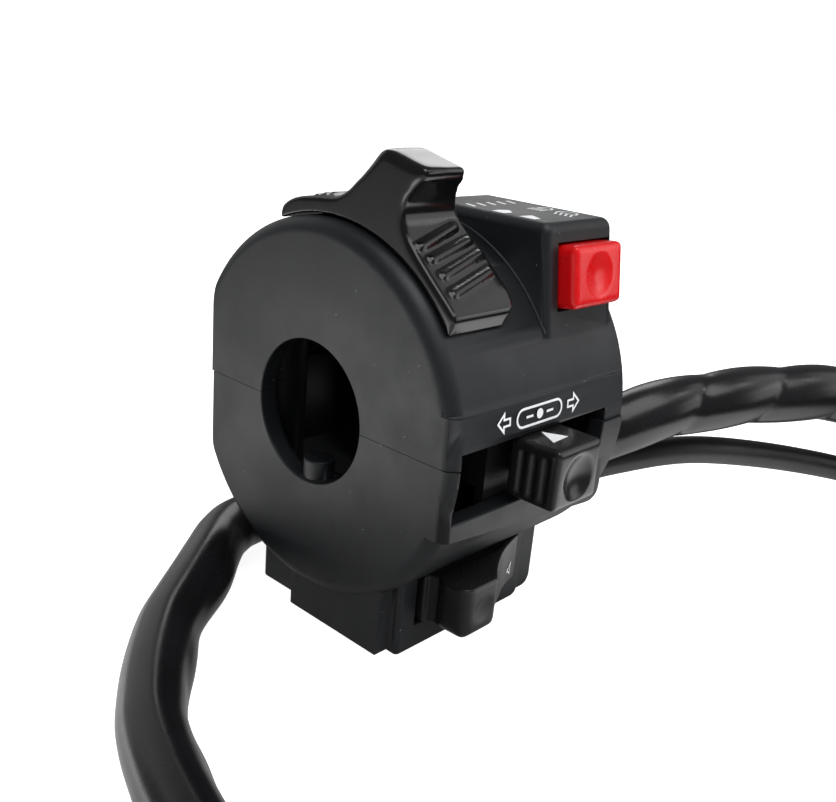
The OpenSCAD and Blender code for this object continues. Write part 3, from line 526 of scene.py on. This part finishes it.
# The lower housing: glass-filled black nylon, moulded with a fine satin skin. It
# carries the horn box and the peg, and is pulled to the upper half by three screws.
satin_nylon = plastic("satin_black_nylon", (0.0055, 0.0063, 0.0078), (0.008, 0.009, 0.0105),
                      (0.44, 0.54), grain=5200, skin=0.03, dust=0.7)

# Inside the shells the skin reflects less, by a lower specular level: painted shade in the
# hollows.
hollow_r = 26.8
front_wall = 2.6
tree = satin_nylon.node_tree
spot = object_spot(tree)
apart = tree.nodes.new("ShaderNodeSeparateXYZ")
put(tree, spot, apart.inputs[0])
from_bar = vector_calc(tree, "LENGTH", vector_calc(tree, "MULTIPLY", spot, (0, 1, 1)))
inside = calc(tree, "MULTIPLY", calc(tree, "LESS_THAN", from_bar, hollow_r * MM),
              calc(tree, "GREATER_THAN", apart.outputs["X"], front_wall * MM))
put(tree, spread(tree, inside, 0.5, 0.2, 0, 1),
    tree.nodes["Principled BSDF"].inputs["Specular IOR Level"])


def clear_of(edge, vert, other):
    """How far another edge of a corner leads away from the line of an edge."""
    side = other.other_vert(vert).co - vert.co
    return side.length * math.sin((edge.other_vert(vert).co - vert.co).angle(side, 0))


def rounded_copy(node, name, radius, finish, wider=()):
    """A copy of a CAD node with its sharp outer edges rounded as a mould leaves them, but
    not at the parting line, which closes to a hairline. Edges that touch are rounded
    together; wider lists (low, high, radius) for runs of edges that have a larger radius,
    by the corners of their boxes in mm."""
    seam = 0.15 * MM
    bm = bmesh.new()
    bm.from_mesh(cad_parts[node].data)
    bmesh.ops.remove_doubles(bm, verts=bm.verts, dist=0.0005 * MM)
    bmesh.ops.dissolve_limit(bm, angle_limit=math.radians(0.4), verts=bm.verts, edges=bm.edges)
    bmesh.ops.dissolve_degenerate(bm, dist=0.05 * MM, edges=bm.edges)
    for v in bm.verts:
        if abs(v.co.z) < seam:
            v.co.z *= 0.4
    sharp = {e for e in bm.edges if len(e.link_faces) == 2 and e.is_convex
             and e.calc_face_angle(0) > math.radians(34)
             and max(abs(v.co.z) for v in e.verts) > seam}
    cramped = True
    while cramped:
        cramped = {e for e in sharp for v in e.verts for o in v.link_edges if o is not e and (
            o.calc_length() < 0.25 * radius * MM if o in sharp else
            clear_of(e, v, o) < 1.1 * radius * MM and set(e.link_faces) & set(o.link_faces))}
        sharp -= cramped
    chains = []
    for first in [e for e in bm.edges if e in sharp]:
        ends = [first] if first in sharp else []
        sharp.discard(first)
        chain = []
        while ends:
            edge = ends.pop()
            chain.append(edge)
            near = [o for v in edge.verts for o in v.link_edges if o in sharp]
            sharp.difference_update(near)
            ends += dict.fromkeys(near)
        if chain:
            chains.append(chain)
    for chain in chains:
        spots = [v.co / MM for e in chain for v in e.verts]
        fits = [r for low, high, r in wider
                if all(abs(min(p[k] for p in spots) - low[k]) < 1
                       and abs(max(p[k] for p in spots) - high[k]) < 1 for k in range(3))]
        bmesh.ops.bevel(bm, geom=chain, offset=max([radius] + fits) * MM,
                        segments=6 if fits else 3, profile=0.5, affect="EDGES", material=-1,
                        clamp_overlap=not fits)
    piece = place(name, bm, finish, 32)
    even = piece.modifiers.new("even", "WEIGHTED_NORMAL")
    even.keep_sharp = True
    even.weight = 90
    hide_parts(node)
    return piece


mould_r = 0.3
dress(["lower_housing"], satin_nylon)
lower = rounded_copy("lower_housing", "lower_shell", mould_r, satin_nylon)
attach(lower, "housing")

# The upper housing: the same nylon. It carries the turn panel's upper half, the
# lever's arc slot and the raised block with the red button.
block_front = ((23, -25.3, 14.3), (40.2, -22.9, 30.7), 1.4)
dress(["upper_housing"], satin_nylon)
upper = rounded_copy("upper_housing", "upper_shell", mould_r, satin_nylon, wider=[block_front])
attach(upper, "housing")

# The bead at the foot of the block: a small moulded ridge of the upper housing, where
# the block's outboard side stands on the round body.
bead_x = 22.9
bead_r = 0.32
body_r = 29
bead_arc = [Vector((bead_x, body_r * math.sin(math.radians(a)),
                    body_r * math.cos(math.radians(a)))) * MM for a in range(-59, -7, 2)]
bead = place("block_bead", sleeve(bead_arc, 10, lambda s, turn: bead_r), satin_nylon, 60)
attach(bead, "housing")

# The printed marks: white ink, pad-printed. The panel has two arrows and a slide sign,
# and the block has lamp signs, pointers and a row of plain strokes.
white_ink = plastic("white_ink", (0.74, 0.76, 0.78), (0.84, 0.85, 0.86), (0.45, 0.6),
                    grain=2500, skin=0.004)
ink_gap = 0.01
ink_depth = 0.02


def ink(name, at, across, upward, shapes, body):
    """Print on a flat face: outlines in mm from a point, each with the width of its line.
    A width of 0 fills the outline."""
    bm = bmesh.new()
    x, y = Vector(across), Vector(upward)
    lift = x.cross(y)
    for points, stroke in shapes:
        spots = [bm.verts.new((Vector(at) + u * x + v * y + ink_gap * lift) * MM)
                 for u, v in points]
        face = bm.faces.new(spots)
        face.normal_update()
        if stroke:
            bmesh.ops.inset_region(bm, faces=[face], thickness=stroke * MM, use_boundary=True,
                                   use_even_offset=True)
            bmesh.ops.delete(bm, geom=[face], context="FACES_ONLY")
    grown = bmesh.ops.extrude_face_region(bm, geom=bm.faces[:], use_keep_orig=True)["geom"]
    bmesh.ops.translate(bm, vec=ink_depth * MM * lift,
                        verts=[g for g in grown if isinstance(g, bmesh.types.BMVert)])
    bmesh.ops.recalc_face_normals(bm, faces=bm.faces)
    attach(place(name, bm, white_ink), body)


def arc_points(middle, radii, start, stop, count):
    """Points of an elliptic arc, angles in degrees."""
    steps = [math.radians(start + (stop - start) * k / count) for k in range(count + 1)]
    return [(middle[0] + radii[0] * math.cos(a), middle[1] + radii[1] * math.sin(a))
            for a in steps]


def bar(x0, y0, x1, y1):
    """A plain upright box as an outline."""
    return [(x0, y0), (x1, y0), (x1, y1), (x0, y1)]


panel_at = (0, -29.13, 0)
panel_upward = (0, 0.0912, 1)
arrow_line = 0.32
slide_line = 0.36
to_right = [(25.55, 4.2), (26.95, 4.2), (26.95, 3.2), (28.7, 4.85), (26.95, 6.55),
            (26.95, 5.5), (25.55, 5.5)]
to_left = [(12.0, 4.3), (12.0, 5.6), (10.65, 5.6), (10.65, 6.65), (8.95, 5.05),
           (10.65, 3.3), (10.65, 4.3)]
slide = (arc_points((22.8, 4.8), (1.5, 1.5), -90, 90, 12)
         + arc_points((14.8, 4.8), (1.5, 1.5), 90, 270, 12))
slide_dot = arc_points((18.8, 4.8), (0.75, 0.75), 0, 345, 23)
ink("panel_print", panel_at, (1, 0, 0), panel_upward,
    [(to_right, arrow_line), (to_left, arrow_line), (slide, slide_line), (slide_dot, 0),
     (bar(15.6, 4.62, 17.2, 4.98), 0), (bar(20.4, 4.62, 22.0, 4.98), 0)], "housing")

block_top = 30.7
lamp_line = 0.3
straight_lamp = (arc_points((35.2, -13.1), (2.2, 1.3), -90, 90, 14), lamp_line)
dipped_lamp = (arc_points((35.2, -17.4), (2.2, 1.9), -90, 90, 14), lamp_line)
straight_rays = [(bar(32.8, -14.35 + 0.75 * k, 34.7, -14.05 + 0.75 * k), 0) for k in range(4)]
dipped_rays = [([(34.7, -19.2 + 0.95 * k), (34.7, -18.85 + 0.95 * k), (32.8, -19.75 + 0.95 * k),
                 (32.8, -20.1 + 0.95 * k)], 0) for k in range(4)]
strokes = [([(24.9 + 2.5 * k, -7.6), (25.5 + 2.5 * k, -7.6), (26.3 + 2.5 * k, -5.2),
             (25.7 + 2.5 * k, -5.2)], 0) for k in range(5)]
pointers = [([(24.5, -13.8), (26.4, -13.9), (27.9, -12.2), (26.3, -11.3), (24.5, -11.5)], 0),
            ([(24.5, -19.4), (26.0, -19.45), (27.3, -17.1), (26.8, -16.75), (24.5, -16.65)], 0)]
ink("block_print", (0, 0, block_top), (1, 0, 0), (0, 1, 0),
    [straight_lamp, dipped_lamp] + straight_rays + dipped_rays + strokes + pointers, "housing")

# The screws, balls, springs and clip: zinc-plated steel. Three case screws come from
# below, one screw holds the lever, the balls click in detents and the springs push back.
plated_steel = metal("plated_steel", (0.45, 0.46, 0.48), (0.66, 0.67, 0.69), (0.22, 0.38))
dress(["case_screws", "lever_screw", "lever_ball", "lever_spring", "turn_ball", "turn_spring",
       "knob_spring", "knob_clip", "red_spring", "horn_spring"], plated_steel)

# The contact boards and bases: dark phenolic sheet, cut to shape and dropped into the
# shells.
phenolic = plastic("dark_phenolic", (0.018, 0.012, 0.008), (0.03, 0.02, 0.013), (0.45, 0.6),
                   grain=1800, skin=0.02)
dress(["light_board", "turn_board", "red_base", "horn_base"], phenolic)

# The thumb lever: one polished black moulding with a hook for the thumb and grip
# ribs. Its stem goes through the arc slot and is screwed to the shoe inside.
polished_black = plastic("polished_black", (0.003, 0.003, 0.003), (0.005, 0.005, 0.005),
                         (0.12, 0.19), grain=900, skin=0.006, dust=0.35, patch=140, share=0.9)
dress(["thumb_lever"], polished_black)


def eased_copy(node, name, grid, finish, passes):
    """A copy of a CAD node on a fine even grid, eased until its edges are round.
    passes(point in mm) says how many times a point is eased."""
    bm = bmesh.new()
    bm.from_mesh(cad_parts[node].data)
    bmesh.ops.remove_doubles(bm, verts=bm.verts, dist=0.0005 * MM)
    rough = place(name + "_grid", bm, finish)
    voxels = rough.modifiers.new("grid", "REMESH")
    voxels.mode = "VOXEL"
    voxels.voxel_size = grid * MM
    ready = rough.evaluated_get(bpy.context.evaluated_depsgraph_get())
    bm = bmesh.new()
    bm.from_mesh(ready.to_mesh())
    ready.to_mesh_clear()
    bpy.data.objects.remove(rough)
    times = [(v, passes(v.co / MM)) for v in bm.verts]
    for k in range(int(max(n for v, n in times))):
        bmesh.ops.smooth_vert(bm, verts=[v for v, n in times if n > k], factor=0.5,
                              use_axis_x=True, use_axis_y=True, use_axis_z=True)
    piece = place(name, bm, finish, 80)
    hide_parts(node)
    return piece


def ramp(value, low, high):
    """0 below low, 1 above high, even in between."""
    return min(1.0, max(0.0, (value - low) / (high - low)))


def lever_passes(p):
    """Round at the outboard edge, rounder along the hook's crest, crisp next to the body."""
    edge = ramp(p.x, 4.6, 3.2) * ramp(p.y, 7, 4)
    crest = ramp(p.z, 34.5, 37.5) * ramp(p.x, 7, 4)
    clear = ramp(math.hypot(p.y, p.z), 29.7, 30.6)
    return 5 + clear * (24 + 14 * edge + 96 * crest)


hook = eased_copy("thumb_lever", "hooked_lever", 0.16, polished_black, lever_passes)
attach(hook, "lever")

# The lever's shoe: natural acetal, moulded, which slides inside the shell and is
# screwed to the lever's stem.
natural_acetal = plastic("natural_acetal", (0.60, 0.56, 0.46), (0.68, 0.64, 0.54),
                         (0.35, 0.5), grain=3000, skin=0.01)
dress(["lever_shoe"], natural_acetal)

# The turn carriage: black acetal, moulded, which slides behind the panel and guides the
# knob's stem.
black_acetal = plastic("black_acetal", (0.008, 0.008, 0.009), (0.014, 0.014, 0.015),
                       (0.4, 0.5), grain=5000, skin=0.02)
dress(["turn_carriage"], black_acetal)

# The turn knob: a half-gloss black moulding with a thumb dish, ribbed sides and a printed
# mark. Its stem goes into the carriage, where a circlip keeps it.
half_gloss = plastic("half_gloss_black", (0.006, 0.006, 0.0065), (0.009, 0.009, 0.0095),
                     (0.22, 0.30), grain=2600, skin=0.008, dust=0.35, patch=140, share=0.9)

# Faces toward the outboard side, such as the knob's ribs, reflect less, by a lower specular
# level: painted shade on the outboard side of each part in this finish.
tree = half_gloss.node_tree
facing = tree.nodes.new("ShaderNodeNewGeometry")
outward = vector_calc(tree, "DOT_PRODUCT", facing.outputs["Normal"], (-1, 0, 0))
put(tree, spread(tree, outward, 0.5, 0.12, 0.6, 0.95),
    tree.nodes["Principled BSDF"].inputs["Specular IOR Level"])
dress(["turn_knob"], half_gloss)
knob = eased_copy("turn_knob", "slide_knob", 0.13, half_gloss, lambda p: 18)
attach(knob, "knob")
knob_top = 2.0
knob_mark = [(19.05, -29.2), (17.0, -32.85), (20.95, -32.6)]
ink("knob_print", (0, 0, knob_top), (1, 0, 0), (0, 1, 0), [(knob_mark, 0)], "knob")

# The red button: a gloss red cap, moulded with a thumb dish. It is guided in the block's
# opening and stands on a return spring.
gloss_red = plastic("gloss_red", (0.57, 0.003, 0.005), (0.63, 0.005, 0.007), (0.20, 0.30),
                    grain=900, skin=0.005, patch=120)
shader = gloss_red.node_tree.nodes["Principled BSDF"]
shader.inputs["Subsurface Weight"].default_value = 0.5
shader.inputs["Subsurface Radius"].default_value = (1, 0.2, 0.2)
shader.inputs["Subsurface Scale"].default_value = 3 * MM
dress(["red_button"], gloss_red)
cap = eased_copy("red_button", "red_cap", 0.13, gloss_red, lambda p: 22)
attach(cap, "red")


# The horn button: a half-gloss black plate with a thumb block, moulded in one. It is
# guided in the horn box and stands on a return spring.
def horn_passes(p):
    """Rounder on the thumb block than on the plate."""
    return 8 + 50 * ramp(p.y, -22.5, -24) * ramp(p.z, -25, -27.5)


dress(["horn_button"], half_gloss)
plate = eased_copy("horn_button", "horn_plate", 0.16, half_gloss, horn_passes)
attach(plate, "horn")
horn_line = 0.24
trumpet = [(-0.8, -0.35), (-0.25, -0.35), (0.75, -1.3), (0.75, 1.3), (-0.25, 0.35), (-0.8, 0.35)]
ink("horn_print", (28.2, -20.13, -27.5), (0.954, 0.299, 0), (0, 0, 1), [(trumpet, horn_line)],
    "horn")
